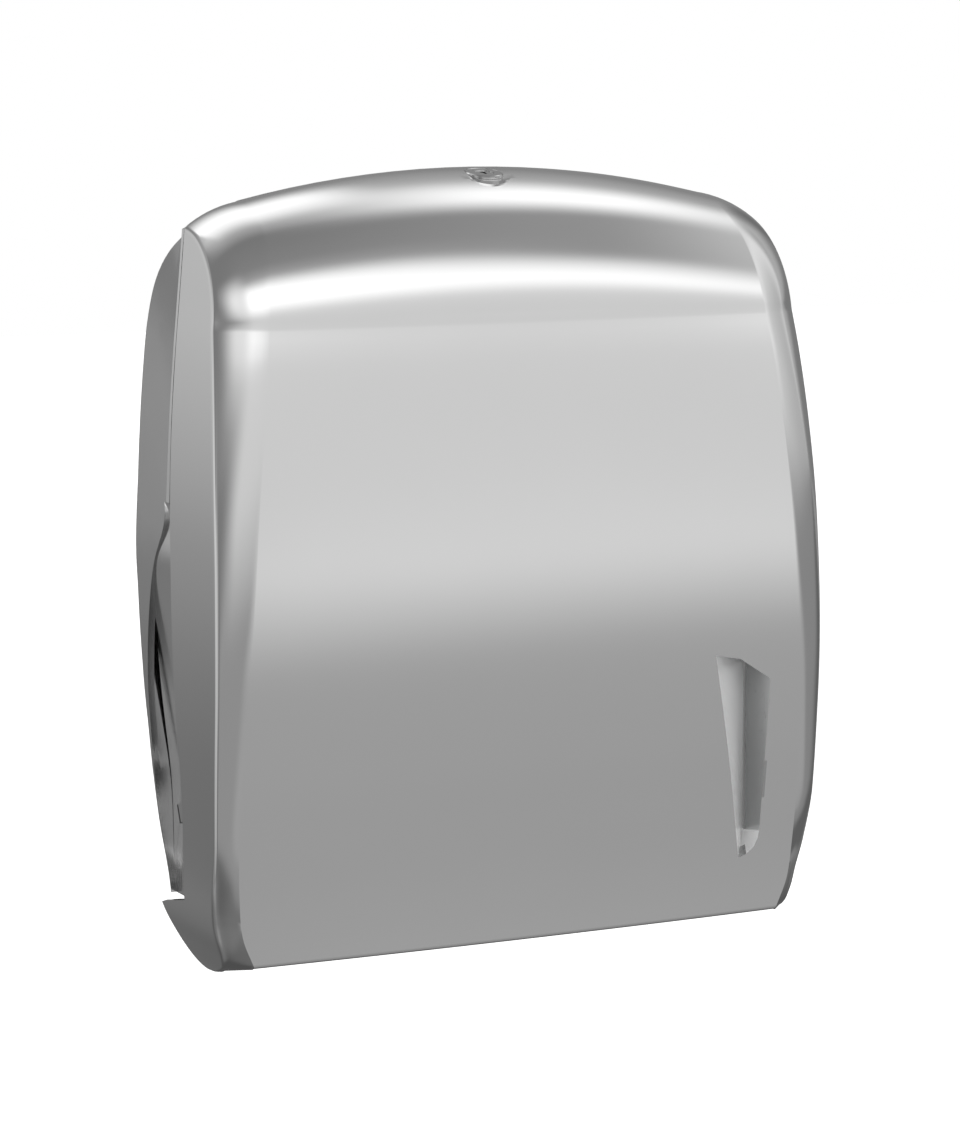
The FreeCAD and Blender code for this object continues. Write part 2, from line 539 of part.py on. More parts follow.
def towel_guide():
    """Right guide: a sheet beside the towels with a flange on the back wall."""
    x0, x1 = MAGAZINE_HALF, MAGAZINE_HALF + GUIDE_T
    side = box(x0, x1, GUIDE_FRONT, BACK_PAD, GUIDE_LOW, GUIDE_HIGH)
    flange = box(x0 - GUIDE_FLANGE, x1, BACK_PAD - GUIDE_T, BACK_PAD, GUIDE_LOW, GUIDE_HIGH)
    cutter = box(x0 - 20, x1 + 10, GUIDE_FRONT - 30, GUIDE_FRONT, -30, 30)
    cutter.rotate(Vector(0, GUIDE_FRONT, 0), Vector(1, 0, 0), -25)
    cutter.translate(Vector(0, 6.0, GUIDE_HIGH - 22))
    sheet = side.fuse(flange).cut(cutter)
    for z in SLOT_HEIGHTS:
        ends = [rod(SLOT_R, (x0 - 5, y, z), (x1 + 5, y, z)) for y in (SLOT_FROM, SLOT_TO)]
        sheet = sheet.cut(box(x0 - 5, x1 + 5, SLOT_FROM, SLOT_TO, z - SLOT_R, z + SLOT_R).fuse(ends))
    for x, z in GUIDE_SCREWS:
        sheet = sheet.cut(screw_hole(abs(x), z))
    return sheet.removeSplitter()


def screw_hole(x, z):
    """Hole through a sheet that a screw in the back wall passes."""
    return rod(SHEET_SCREW_R + SCREW_PLAY, (x, BACK_PAD - 6, z), (x, BACK_PAD + 4, z))


def sheet_screws(places, seat_y):
    return Part.makeCompound([pan_screw(x, seat_y, z, SHEET_SCREW_HEAD_R, SHEET_SCREW_R, SHEET_SCREW_LEN,
                                        SHEET_SCREW_HEAD_T, (0, 1, 0)) for x, z in places])


def towel_tray():
    """Floor of the magazine with the outlet; its front lip is round about the hinge."""
    low, high = TRAY_LOW, TRAY_LOW + TRAY_T
    lip_y = HINGE_Y - math.sqrt(LIP_R ** 2 - (HINGE_Z - low) ** 2)
    floor = box(-TRAY_HALF, TRAY_HALF, lip_y + 0.4, BACK_PAD, low, high)
    lip = tube(LIP_R, LIP_R - TRAY_T, (-TRAY_HALF, HINGE_Y, HINGE_Z), (TRAY_HALF, HINGE_Y, HINGE_Z))
    lip = lip.common(box(-TRAY_HALF, TRAY_HALF, -5, lip_y + 2.0, low, 27.0))
    flange = box(-TRAY_HALF, TRAY_HALF, BACK_PAD - TRAY_T, BACK_PAD, low, TRAY_BACK_HIGH)
    ends = both(box(TRAY_HALF - 2.0, TRAY_HALF, TRAY_NOTCH[1] + 1.5, BACK_PAD, low, TRAY_END_HIGH))
    mid_y, half_y = (SLOT_FRONT + SLOT_BACK) / 2, (SLOT_BACK - SLOT_FRONT) / 2

    def stadium(grow, z0, z1):
        core = box(-SLOT_HALF, SLOT_HALF, SLOT_FRONT - grow, SLOT_BACK + grow, z0, z1)
        return core.fuse([rod(half_y + grow, (x, mid_y, z0), (x, mid_y, z1)) for x in (-SLOT_HALF, SLOT_HALF)])

    collar = stadium(COLLAR_W, low, high + COLLAR_H)
    tray = floor.fuse([lip, flange, ends, collar]).cut(stadium(0.0, low - 5, high + 10))
    tray = tray.cut(box(TRAY_NOTCH[0], 140.0, -10.0, TRAY_NOTCH[1], low - 5, 40.0))
    for x, z in TRAY_SCREWS:
        tray = tray.cut(screw_hole(x, z))
    return tray.removeSplitter()


def catch_plate():
    """Steel bracket on the back wall whose turned-down lip stands in front of the locked cam."""
    top, back = CATCH_TOP, BACK_PAD
    arm = box(CATCH_X0, CATCH_X1, CATCH_LIP_Y, back, top - CATCH_T, top)
    lip = box(CATCH_X0, CATCH_X1, CATCH_LIP_Y, CATCH_LIP_Y + CATCH_LIP_T, top - CATCH_LIP_H, top)
    leg = box(CATCH_X0, CATCH_X1 + 6.0, back - CATCH_T, back, top - CATCH_LEG_H, top)
    rib = box(CATCH_X1 - 1.6, CATCH_X1, back - 26.0, back, top - 13.5, top)
    bracket = arm.fuse([lip, leg, rib]).removeSplitter()
    for x, z in CATCH_SCREWS:
        bracket = bracket.cut(screw_hole(x, z))
    return bracket


save("rear_casing", rear_casing())
save("towel_tray", towel_tray())
save("tray_screws", sheet_screws(TRAY_SCREWS, BACK_PAD - TRAY_T))
save("catch_plate", catch_plate())
save("catch_screws", sheet_screws(CATCH_SCREWS, BACK_PAD - CATCH_T))
save("hinge_pin_right", hinge_pin())
save("hinge_pin_left", mirrored(hinge_pin()))
save("towel_guide_right", towel_guide())
save("towel_guide_left", mirrored(towel_guide()))
save("guide_screws", sheet_screws(GUIDE_SCREWS, BACK_PAD - GUIDE_T))
save("stop_buffers", pair(stop_block(BUFFER_IN, BUFFER_OUT, BUFFER_PLAY, BUFFER_T)))
save("front_cover", cover())
save("level_window", level_window())
save("window_retainer", window_retainer())
save("window_screws", window_screws())
save("hinge_bush_right", hinge_bush())
save("hinge_bush_left", mirrored(hinge_bush()))
save("lock_barrel", lock_barrel())
save("lock_washer", lock_washer())
save("lock_nut", lock_nut())
save("lock_plug", lock_plug())
save("lock_cam", lock_cam())
save("cam_washer", cam_washer())
save("cam_screw", cam_screw())
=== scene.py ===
# %% [markdown]
# # A slim dispenser for folded hand towels
# The real object hangs on a wall: a moulded cover with a satin silver skin, a casing behind it, a key lock
# on top and a recess with a level window. The solids from the drawing are loaded as a fixed frame. The
# large skin of the cover is modelled again here, because a glossy skin shows every facet of a plain solid.

# %% Load the frame
import math

import bmesh
import bpy
from mathutils import Matrix, Vector


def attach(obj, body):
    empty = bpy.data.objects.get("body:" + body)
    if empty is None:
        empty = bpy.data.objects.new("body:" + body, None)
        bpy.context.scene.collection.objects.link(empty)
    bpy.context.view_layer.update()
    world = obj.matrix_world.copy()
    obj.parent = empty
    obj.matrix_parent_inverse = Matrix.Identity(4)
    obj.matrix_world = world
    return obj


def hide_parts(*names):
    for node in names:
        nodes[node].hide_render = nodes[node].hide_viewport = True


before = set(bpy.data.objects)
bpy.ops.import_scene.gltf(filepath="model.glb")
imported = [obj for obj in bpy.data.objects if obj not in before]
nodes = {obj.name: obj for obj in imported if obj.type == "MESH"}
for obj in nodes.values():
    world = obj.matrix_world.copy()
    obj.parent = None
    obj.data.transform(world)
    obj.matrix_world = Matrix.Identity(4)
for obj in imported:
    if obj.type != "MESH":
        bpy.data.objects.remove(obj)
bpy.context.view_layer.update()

# %% [markdown]
# The drawing is in millimetres from the middle of the face's bottom edge, with y towards the wall. The
# frame is in metres from the middle of the wall screws. One matrix takes a drawn shape to its place, so
# every number below can be read as a measure on the real object.

# %% From the drawing to the frame
DEPTH, SCREW_MID = 92.0, 170.0
TO_FRAME = Matrix.Scale(0.001, 4) @ Matrix.Translation((0, -DEPTH, -SCREW_MID))


def placed(name, bm, body, material, slot, *stands_for):
    """Finishes a drawn bmesh as an object of the frame that rides on a body."""
    bmesh.ops.transform(bm, matrix=TO_FRAME, verts=bm.verts)
    mesh = bpy.data.meshes.new(name)
    bm.to_mesh(mesh)
    bm.free()
    piece = bpy.data.objects.new(name, mesh)
    bpy.context.scene.collection.objects.link(piece)
    mesh.materials.append(material)
    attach(piece, body)
    if stands_for:
        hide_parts(*stands_for)
    return piece


def between(table, t):
    """Smooth values of a table's columns at t. The first column is where each row applies."""
    rows = sorted(table)
    t = min(max(t, rows[0][0]), rows[-1][0])
    i = max(k for k in range(len(rows) - 1) if rows[k][0] <= t)
    a, b = rows[i], rows[i + 1]
    before, after = rows[max(i - 1, 0)], rows[min(i + 2, len(rows) - 1)]
    h = b[0] - a[0]
    s = (t - a[0]) / h
    out = []
    for k in range(1, len(a)):
        ma = (b[k] - before[k]) / (b[0] - before[0]) * h
        mb = (after[k] - a[k]) / (after[0] - a[0]) * h
        out.append((2 * s**3 - 3 * s**2 + 1) * a[k] + (s**3 - 2 * s**2 + s) * ma
                   + (3 * s**2 - 2 * s**3) * b[k] + (s**3 - s**2) * mb)
    return out


print("drawing frame ready")

# %% [markdown]
# ## Camera and light
# The object is seen from 26 degrees to the left and 8 degrees above, with a long lens, so its edges stay
# nearly parallel. Polished and satin metal shows its surroundings more than itself, so the studio is made
# with care: a softbox above the front, a dark ceiling, a softbox behind, and a floor that gets darker
# towards the object.

# %% The camera
TURN, TILT = math.radians(26.0), math.radians(8.09376)
SENSOR_HEIGHT, FOCAL_PIXELS, PICTURE_PIXELS = 36.0, 3792.92, 1140
CAMERA_PLACE = (-0.707925, -1.498629, 0.210806)
forward = Vector((math.sin(TURN) * math.cos(TILT), math.cos(TURN) * math.cos(TILT), -math.sin(TILT)))
camera_data = bpy.data.cameras.new("studio_camera")
camera_data.sensor_fit = "VERTICAL"
camera_data.sensor_height = SENSOR_HEIGHT
camera_data.lens = SENSOR_HEIGHT * FOCAL_PIXELS / PICTURE_PIXELS
camera_data.clip_start = 0.05
camera = bpy.data.objects.new("studio_camera", camera_data)
camera.location = CAMERA_PLACE
camera.rotation_euler = forward.to_track_quat("-Z", "Y").to_euler()
bpy.context.scene.collection.objects.link(camera)
bpy.context.scene.camera = camera
bpy.context.scene.view_settings.view_transform = "Standard"
print("camera looks along", tuple(round(c, 3) for c in forward))

# %% [markdown]
# The surroundings are a node pattern on the world. A ramp goes round the object over the top, from the
# floor (-90 degrees) by the front (0) and the ceiling (90) to the wall behind (180). The lights and the
# grey screens of the studio lie on it as soft patches. The camera itself sees plain white. The first values
# of the lights and of the ramp came out of a fit in a script that isn't part of this lesson. They were then
# changed by eye.

# %% The studio


def add(tree, kind, x=0, y=0, **values):
    """A node with its settings and the plain values of its sockets."""
    node = tree.nodes.new(kind)
    node.location = (x, y)
    for key, value in values.items():
        if hasattr(node, key):
            setattr(node, key, value)
        else:
            node.inputs[key.replace("_", " ")].default_value = value
    return node


def wire(tree, *pairs):
    """Links output to input, pair by pair."""
    for a, b in pairs:
        tree.links.new(a, b)


def ramp(tree, stops):
    """Grey colour ramp from (place, grey) stops, with straight changes between them."""
    node = tree.nodes.new("ShaderNodeValToRGB")
    node.color_ramp.interpolation = "LINEAR"
    keys = node.color_ramp.elements
    while len(keys) < len(stops):
        keys.new(0.5)
    for key, (place, _) in zip(keys, stops):
        key.position = place
    for key, (_, grey) in zip(keys, stops):
        key.color = (grey, grey, grey, 1)
    return node


BACKGROUND = (  # degrees over the top, then the grey with which this place shows in the skin
    (-180, 119), (-165, 107), (-150, 80), (-100, 76), (-60, 109), (-30, 147), (-22, 155), (-15, 156),
    (-12.5, 178), (-9, 198), (-5, 212), (-1, 204), (5, 202), (13, 204), (21, 212), (30, 240),
    (46, 160), (60, 126), (90, 116), (115, 195), (135, 158), (155, 127), (180, 128))
LIGHTS = (  # name; middle, half size and fade over the top, then from left (-1) to right (1); grey
    ("front_softbox", 34, 2, 16, 0.24, 0.73, 0.42, 275),
    ("rear_softbox", 128, 3, 23, -0.02, 0.28, 0.08, 262),
    ("grey_ceiling", 78, 27, 28, 0.78, 0.25, 0.37, 142),
    ("rear_right_lamp", 105, 2, 24, 0.50, 0.03, 0.30, 264),
    ("left_screen", -14, 119, 45, -0.85, 0.15, 0.35, 117),
    ("left_lamp", 37, 1, 29, -0.59, 0.01, 0.24, 232),
    ("left_edge", -113, 103, 60, -1.06, 0.03, 0.28, 190),
    ("right_top", 60, 34, 24, 0.96, 0.16, 0.28, 221),
    ("left_back", -179, 1, 42, -0.91, 0.16, 0.36, 202),
    ("right_gap", 163, 1, 58, 0.70, 0.01, 0.10, 104),
    ("right_edge", -75, 136, 60, 1.10, 0.01, 0.34, 158),
    ("under_shadow", -93, 32, 59, -0.29, 0.01, 0.60, 77),
    ("side_lamp", 177, 0, 16, -0.38, 0.13, 0.25, 189),
    ("front_left_screen", -16, 6, 16, -0.20, 0.25, 0.30, 140),
    ("right_screen", -40, 34, 14, 1.02, 0.28, 0.12, 130),
    ("right_foot", -78, 24, 24, 1.00, 0.15, 0.12, 92),
    ("right_rear", 176, 16, 22, 1.00, 0.14, 0.12, 118),
    ("rear_screen", 178, 18, 12, -0.13, 0.18, 0.05, 116))
SOFTBOX, SKIN_GREY = 2.0, 0.8


def strength(grey):
    """Light that shows as this display grey in the satin skin, as a share of the softbox."""
    return ((grey / 255 + 0.055) / 1.055) ** 2.4 / SKIN_GREY / SOFTBOX


def spot(tree, value, middle, half, fade, wrap=None):
    """1 where the value is near the middle, with a soft fade to 0. Wrap is half a full turn of the value."""
    away = add(tree, "ShaderNodeMath", operation="SUBTRACT")
    away.inputs[1].default_value = middle
    wire(tree, (value, away.inputs[0]))
    if wrap:
        turn = add(tree, "ShaderNodeMath", operation="WRAP")
        turn.inputs[1].default_value, turn.inputs[2].default_value = wrap, -wrap
        wire(tree, (away.outputs[0], turn.inputs[0]))
        away = turn
    size = add(tree, "ShaderNodeMath", operation="ABSOLUTE")
    soft = add(tree, "ShaderNodeMapRange", interpolation_type="SMOOTHSTEP",
               From_Min=half, From_Max=half + fade, To_Min=1.0, To_Max=0.0)
    wire(tree, (away.outputs[0], size.inputs[0]), (size.outputs[0], soft.inputs["Value"]))
    return soft.outputs[0]


world = bpy.data.worlds.new("studio")
world.use_nodes = True
bpy.context.scene.world = world
tree = world.node_tree
tree.nodes.clear()
direction = add(tree, "ShaderNodeTexCoord")
parts = add(tree, "ShaderNodeSeparateXYZ")
to_front = add(tree, "ShaderNodeMath", operation="MULTIPLY")
to_front.inputs[1].default_value = -1.0
angle = add(tree, "ShaderNodeMath", operation="ARCTAN2")
degrees = add(tree, "ShaderNodeMath", operation="DEGREES")
place = add(tree, "ShaderNodeMapRange", From_Min=-180.0, From_Max=180.0)
room = ramp(tree, [((over + 180) / 360, strength(grey)) for over, grey in BACKGROUND])
wire(tree, (direction.outputs["Generated"], parts.inputs[0]), (parts.outputs["Y"], to_front.inputs[0]),
     (parts.outputs["Z"], angle.inputs[0]), (to_front.outputs[0], angle.inputs[1]),
     (angle.outputs[0], degrees.inputs[0]), (degrees.outputs[0], place.inputs["Value"]),
     (place.outputs[0], room.inputs[0]))
seen = room.outputs[0]
for name, over, half, fade, across, half_across, fade_across, grey in LIGHTS:
    tall = spot(tree, degrees.outputs[0], over, half, fade, wrap=180.0)
    wide = spot(tree, parts.outputs["X"], across, half_across, fade_across)
    share = add(tree, "ShaderNodeMath", operation="MULTIPLY")
    level = strength(grey)
    lamp = add(tree, "ShaderNodeMixRGB", label=name, Color2=(level, level, level, 1))
    wire(tree, (tall, share.inputs[0]), (wide, share.inputs[1]), (share.outputs[0], lamp.inputs[0]),
         (seen, lamp.inputs[1]))
    seen = lamp.outputs[0]
studio = add(tree, "ShaderNodeBackground", Strength=SOFTBOX)
plain = add(tree, "ShaderNodeBackground", Strength=1.0, Color=(1, 1, 1, 1))
looking = add(tree, "ShaderNodeLightPath")
choice = add(tree, "ShaderNodeMixShader")
out = add(tree, "ShaderNodeOutputWorld")
wire(tree, (seen, studio.inputs["Color"]), (looking.outputs["Is Camera Ray"], choice.inputs[0]),
     (studio.outputs[0], choice.inputs[1]), (plain.outputs[0], choice.inputs[2]),
     (choice.outputs[0], out.inputs[0]))
print("studio:", len(BACKGROUND), "greys over the top and", len(LIGHTS), "lights and screens")

# %% [markdown]
# The floor is a plain pale sheet well below the object, which hangs. It is not part of the object.

# %% The floor
FLOOR_HALF, FLOOR_Z = 6.0, -0.42
PAPER, GLOW = 0.9, 0.75
bm = bmesh.new()
bmesh.ops.create_grid(bm, x_segments=1, y_segments=1, size=FLOOR_HALF)
bmesh.ops.translate(bm, vec=(0, 0, FLOOR_Z), verts=bm.verts)
floor_mesh = bpy.data.meshes.new("floor")
bm.to_mesh(floor_mesh)
bm.free()
floor = bpy.data.objects.new("floor", floor_mesh)
bpy.context.scene.collection.objects.link(floor)
pale = bpy.data.materials.new("pale_floor")
pale.use_nodes = True
sheet = pale.node_tree.nodes["Principled BSDF"]
sheet.inputs["Base Color"].default_value = (PAPER, PAPER, PAPER, 1)
sheet.inputs["Roughness"].default_value = 0.9
sheet.inputs["Emission Color"].default_value = (1, 1, 1, 1)
sheet.inputs["Emission Strength"].default_value = GLOW
floor_mesh.materials.append(pale)
floor.visible_glossy = False
print("floor at", floor_mesh.vertices[0].co.z)

# %% [markdown]
# ## Finishes
# The cover is a moulding with a vacuum metal skin under a satin lacquer: nearly a mirror, with its
# highlights spread a little. A fine grain, faint polishing lines and slow clouds of shade keep it from
# looking like plain chrome. The finishes that came with the solids are removed first, because every piece
# gets a new one.

# %% Metal finish helper
for plain_finish in list(bpy.data.materials):
    if plain_finish is not pale:
        bpy.data.materials.remove(plain_finish)

FINE_GRAIN, SLOW_CLOUD, CLOUD_SHADE, LINE_DEPTH = 2600.0, 26.0, 0.985, 0.00002


def metal(name, grey, rough, grain, lines, tint=(1.0, 1.0, 1.0), scale=(1, 1, 1), share=1.0):
    """Skin with fine grain in its roughness, polishing lines and slow clouds. Share is how metallic it is."""
    material = bpy.data.materials.new(name)
    material.use_nodes = True
    t = material.node_tree
    skin = t.nodes["Principled BSDF"]
    skin.inputs["Metallic"].default_value = share
    where = add(t, "ShaderNodeTexCoord", -900, 0)
    turned = add(t, "ShaderNodeMapping", -720, 0, Scale=scale)
    fine = add(t, "ShaderNodeTexNoise", -520, 120, Scale=FINE_GRAIN, Detail=3.0, Roughness=0.6)
    slow = add(t, "ShaderNodeTexNoise", -520, -160, Scale=SLOW_CLOUD, Detail=2.0, Roughness=0.5)
    gloss = add(t, "ShaderNodeMapRange", -300, 120, From_Min=0.3, From_Max=0.7,
                To_Min=rough - grain, To_Max=rough + grain)
    low = [c * grey * CLOUD_SHADE for c in tint] + [1]
    high = [c * grey for c in tint] + [1]
    shade = add(t, "ShaderNodeMixRGB", -300, 300, Color1=low, Color2=high)
    wire(t, (where.outputs["Object"], turned.inputs[0]), (turned.outputs[0], fine.inputs["Vector"]),
         (where.outputs["Object"], slow.inputs["Vector"]), (fine.outputs["Fac"], gloss.inputs["Value"]),
         (gloss.outputs[0], skin.inputs["Roughness"]), (slow.outputs["Fac"], shade.inputs["Fac"]),
         (shade.outputs[0], skin.inputs["Base Color"]))
    bump = add(t, "ShaderNodeBump", -120, -200, Strength=lines, Distance=LINE_DEPTH)
    wire(t, (fine.outputs["Fac"], bump.inputs["Height"]), (bump.outputs[0], skin.inputs["Normal"]))
    return material


# %% [markdown]
# The inner parts are moulded in plain plastic, and the pads are rubber. A spark-eroded mould leaves a fine
# grain on them, so a noise pattern gives a small relief and a slightly uneven gloss. The same helper serves
# for all of them.

# %% Plastic finish helper
PLASTIC_CLOUD, GLOSS_SPREAD, RELIEF_DEPTH = 30.0, 0.06, 0.00005


def plastic(name, colour, rough, grain_size, relief, spread=0.06):
    """Moulded plastic with an eroded grain and slightly uneven colour."""
    material = bpy.data.materials.new(name)
    material.use_nodes = True
    t = material.node_tree
    skin = t.nodes["Principled BSDF"]
    where = add(t, "ShaderNodeTexCoord", -900, 0)
    grain = add(t, "ShaderNodeTexNoise", -560, -120, Scale=grain_size, Detail=4.0, Roughness=0.65)
    cloud = add(t, "ShaderNodeTexNoise", -560, 200, Scale=PLASTIC_CLOUD, Detail=3.0)
    dark = [c * (1 - spread) for c in colour] + [1]
    light = [min(1.0, c * (1 + spread)) for c in colour] + [1]
    shade = add(t, "ShaderNodeMixRGB", -300, 200, Color1=dark, Color2=light)
    gloss = add(t, "ShaderNodeMapRange", -300, 0, To_Min=rough - GLOSS_SPREAD, To_Max=rough + GLOSS_SPREAD)
    bump = add(t, "ShaderNodeBump", -200, -200, Strength=relief, Distance=RELIEF_DEPTH)
    wire(t, (where.outputs["Object"], grain.inputs["Vector"]),
         (where.outputs["Object"], cloud.inputs["Vector"]),
         (cloud.outputs["Fac"], shade.inputs["Fac"]), (shade.outputs[0], skin.inputs["Base Color"]),
         (grain.outputs["Fac"], gloss.inputs["Value"]), (gloss.outputs[0], skin.inputs["Roughness"]),
         (grain.outputs["Fac"], bump.inputs["Height"]), (bump.outputs[0], skin.inputs["Normal"]))
    return material


# %% [markdown]
# Each finish has its grey, its roughness and how strong its grain and lines are. The skin of the cover is
# the smoothest. The walls of its recess are rougher, and their lighter grey and lower metal share are painted
# light that brightens the recess against its shade. The smoked pane is darker, and its finish is also painted
# shade on the upper part of the recess's right wall. The sheet metal is rolled, so its grain is drawn long in
# one direction.

# %% All finishes
satin_silver = metal("satin_silver", 0.80, 0.125, grain=0.015, lines=0.04)
# Painted light: the lighter grey and the lower metal share brighten the walls of the recess against their
# shade. Their higher roughness is their own.
recess_silver_painted_light = metal("recess_silver_painted_light", 0.95, 0.30, grain=0.03, lines=0.05, share=0.55)
casing_silver = metal("casing_silver", 0.82, 0.16, grain=0.02, lines=0.05)
zinc_sheet = metal("zinc_sheet", 0.62, 0.38, grain=0.10, lines=0.25, tint=(0.98, 0.99, 1.0),
                   scale=(1, 1, 0.05))
zinc_screw = metal("zinc_screw", 0.66, 0.30, grain=0.08, lines=0.2, tint=(0.97, 0.99, 1.0))
ground_pin = metal("ground_pin", 0.66, 0.22, grain=0.06, lines=0.3, scale=(0.03, 1, 1))
nickel = metal("nickel", 0.60, 0.28, grain=0.06, lines=0.15, tint=(1.0, 0.98, 0.94))
lock_chrome = metal("lock_chrome", 0.76, 0.15, grain=0.03, lines=0.05)
tray_black = plastic("tray_black", (0.035, 0.035, 0.038), 0.55, 1400.0, 0.5)
bush_white = plastic("bush_white", (0.72, 0.72, 0.69), 0.45, 1800.0, 0.3, 0.02)
rubber = plastic("rubber", (0.016, 0.016, 0.016), 0.75, 2200.0, 0.7)
# The smoked pane's own finish. It is also used as painted shade on the upper part of the recess's right wall.
smoke_and_wall_shade = metal("smoke_and_wall_shade", 0.58, 0.18, grain=0.02, lines=0.02, tint=(0.99, 1.0, 1.0))
print("finishes:", [m.name for m in bpy.data.materials if m.use_nodes])

# %% [markdown]
# Each solid of the frame keeps its shape and gets the finish of its own material. The first table says
# which finish a material has, and the second which material a solid is made of. A solid that isn't in it is
# a screw.

# %% Finishes on the solids
FINISH = {
    "cover_plastic": satin_silver, "casing_plastic": casing_silver, "tray_plastic": tray_black,
    "window_smoke": smoke_and_wall_shade, "sheet_steel": zinc_sheet, "screw_steel": zinc_screw, "pin_steel": ground_pin,
    "lock_steel": nickel, "lock_chrome": lock_chrome, "bush_plastic": bush_white, "buffer_rubber": rubber}
SLOTS = {
    "front_cover": "cover_plastic", "rear_casing": "casing_plastic", "towel_tray": "tray_plastic",
    "level_window": "window_smoke", "window_retainer": "tray_plastic", "stop_buffers": "buffer_rubber",
    "hinge_bush_right": "bush_plastic", "hinge_bush_left": "bush_plastic", "hinge_pin_right": "pin_steel",
    "hinge_pin_left": "pin_steel", "catch_plate": "sheet_steel", "towel_guide_right": "sheet_steel",
    "towel_guide_left": "sheet_steel", "lock_barrel": "lock_chrome", "lock_plug": "lock_chrome",
    "lock_cam": "lock_steel", "lock_nut": "lock_steel", "lock_washer": "lock_steel"}
for name, solid in nodes.items():
    finish = FINISH[SLOTS.get(name, "screw_steel")]
    solid.data.materials.clear()
    solid.data.materials.append(finish)
    print(name, "->", finish.name)

# %% [markdown]
# ## The cover
# The cover is one moulding: a nearly flat face with a slight crown, a flank on each side that curves back
# from the face's crease, and barrel sides that meet the flank at a crisp edge. At the top the same section
# turns about a line inside the cover. So the skin is made as a loft: half a section is drawn at each
# height, and then at each angle of the round top, and neighbouring sections are bridged. The mirror gives
# the other half.

# %% Shape tables of the cover
PIVOT_Y, PIVOT_Z = 52.0, 262.0
HINGE_Y, HINGE_Z, CHEEK_R = 32.0, 36.0, 43.5
BARREL = (  # height, half width across the sides
    (-14, 131.0), (-6, 132.7), (2, 134.9), (12, 137.8), (25, 139.9), (40, 141.0), (60, 141.6), (80, 141.9),
    (100, 142.0), (130, 141.8), (160, 141.2), (190, 140.3), (220, 138.7), (250, 136.5), (275, 134.2),
    (300, 132.0), (335, 129.2))
FACE = (  # height, half width and y of the crease, slope of the flank behind it, crown of the face
    (-16, 117.5, 2.6, 0.80, 2.3), (0, 124.5, 2.4, 0.60, 2.4), (12, 129.2, 2.0, 0.45, 2.5),
    (28, 130.9, 0.9, 0.30, 2.5), (50, 131.7, -1.1, 0.20, 2.5), (80, 131.1, -4.0, 0.24, 2.5),
    (115, 129.4, -6.8, 0.29, 2.5), (150, 126.8, -7.8, 0.36, 2.5), (185, 124.1, -6.7, 0.41, 2.5),
    (220, 120.6, -4.2, 0.50, 2.7), (245, 117.6, -1.3, 0.56, 2.9), (262, 115.4, 2.0, 0.577, 3.2))
ROUND = (  # angle, half width of the crease and its distance from the pivot line, slope, crown
    (0, 115.4, 50.0, 0.577, 3.2), (18, 113.5, 48.9, 0.52, 4.6), (36, 111.5, 48.6, 0.49, 6.4),
    (54, 109.2, 48.9, 0.47, 8.4), (72, 108.0, 49.0, 0.44, 10.4), (90, 107.2, 49.2, 0.42, 12.3))
PARTING = (  # height, y of the rear edge
    (21, 41.0), (30, 38.8), (42, 37.4), (58, 36.8), (80, 38.3), (100, 41.9), (130, 45.4), (160, 47.8),
    (190, 49.8), (220, 51.0), (250, 51.2), (280, 51.2))
TAB = (  # height, y of the rear edge where it runs out to the stop tab
    (14.4, 69.0), (16.9, 59.5), (19.2, 49.5), (21.0, 41.0))
CHEEK_EDGE = (  # height, half width and y of the edge where the corner's facet meets the flank
    (-7.45, 130.2, 29.9), (-7, 130.4, 24.0), (-5, 131.0, 17.4), (-3, 131.6, 12.9), (0, 132.0, 9.2),
    (3.2, 131.7, 7.1), (8, 131.0, 4.6), (13, 130.35, 2.73), (16, 130.15, 2.02), (18.5, 130.23, 1.61))
CHEEK_TOP = 18.5
FACE_STEPS, FACET_STEPS, FLANK_STEPS, EDGE_STEPS, SIDE_STEPS = 26, 3, 9, 5, 14
SIDE_EDGE_ROUND, REAR_GAP = 1.3, 0.8
FLANK_BOW, LATEST_CUT = 0.065, 0.97
FOOT_Z, FACET_FOOT_Z = -2.0, -5.0
SOFT_TOP, SOFT_SPAN = 58.0, 34.0  # the flank turns into an ellipse below this height, over this span
LEAN_TOP, LEAN_SPAN = 52.0, 46.0  # it leans back below this height, over this span
FOOT_SLOPE, CHEEK_SLOPE, FOOT_STEEP = 1.1, 1.3, 0.8  # how much it leans back at the foot
print("face rows:", len(FACE), "round rows:", len(ROUND))

# %% [markdown]
# Half a section runs from the middle of the face to the rear edge: the crown, the narrow facet of the lower
# corner, the flank, the small round of its edge, and the side. Each part has its own short function. The
# flank is a shallow bow over most of the height. Towards the foot it turns step by step into a quarter of
# an ellipse that leans back, and so the edge melts into the corner. Every section has the same number of
# points, so that each point has its neighbour in the next section and the skin gets no seam.

# %% Parts of a section


def smooth_step(value):
    """Smooth change from 0 to 1, held at both ends."""
    value = min(1.0, max(0.0, value))
    return value * value * (3 - 2 * value)


def arc_half(x1, w1, crown, steps):
    """Crown of the face from its middle to the crease, as an arc through both creases and the middle."""
    radius = (x1 * x1 + crown * crown) / (2 * crown)
    out = []
    for i in range(steps + 1):
        x = x1 * math.sin(math.pi / 2 * i / steps)
        out.append((x, w1 + crown - radius + math.sqrt(radius * radius - x * x)))
    return out


